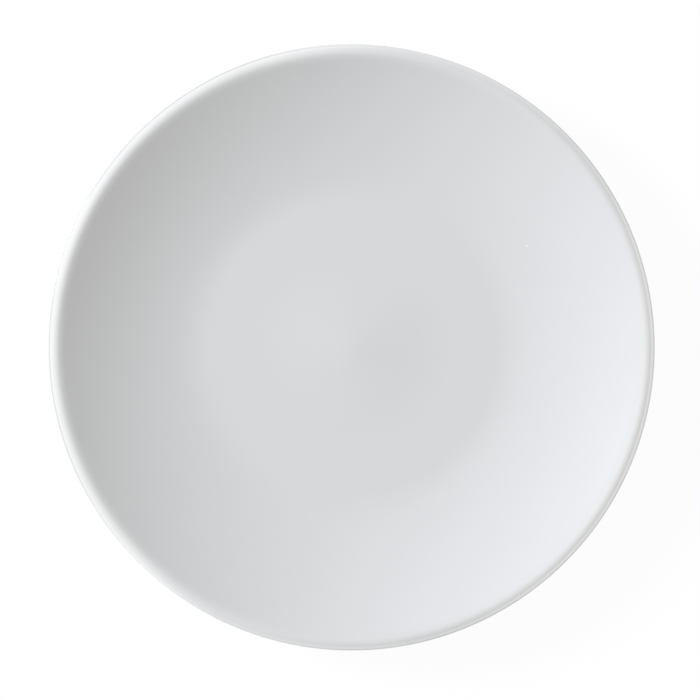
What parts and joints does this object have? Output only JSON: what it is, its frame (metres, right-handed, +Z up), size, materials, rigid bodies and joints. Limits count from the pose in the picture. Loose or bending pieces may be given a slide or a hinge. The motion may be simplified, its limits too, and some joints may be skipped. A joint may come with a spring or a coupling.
{
  "type": "coupe dinner plate",
  "caption": "Round rimless coupe dinner plate: a shallow curved well rising to a rounded lip, on a low foot ring, white glazed, for serving and eating food.",
  "frame": {"origin": "centre of the foot ring's standing face, on the table", "axes": "+Z up along the plate's own axis, out of the well; +X and +Y lie in the table, and the plate is the same all round"},
  "size_m": [0.27, 0.27, 0.027],
  "materials": {
    "porcelain": "bare fired porcelain, ground smooth, matt and slightly warm",
    "glaze": "glossy transparent glaze over white porcelain, a cool white"
  },
  "bodies": {
    "root": {"porcelain_body": "porcelain", "outer_glaze": "glaze", "base_glaze": "glaze"}
  },
  "joints": []
}
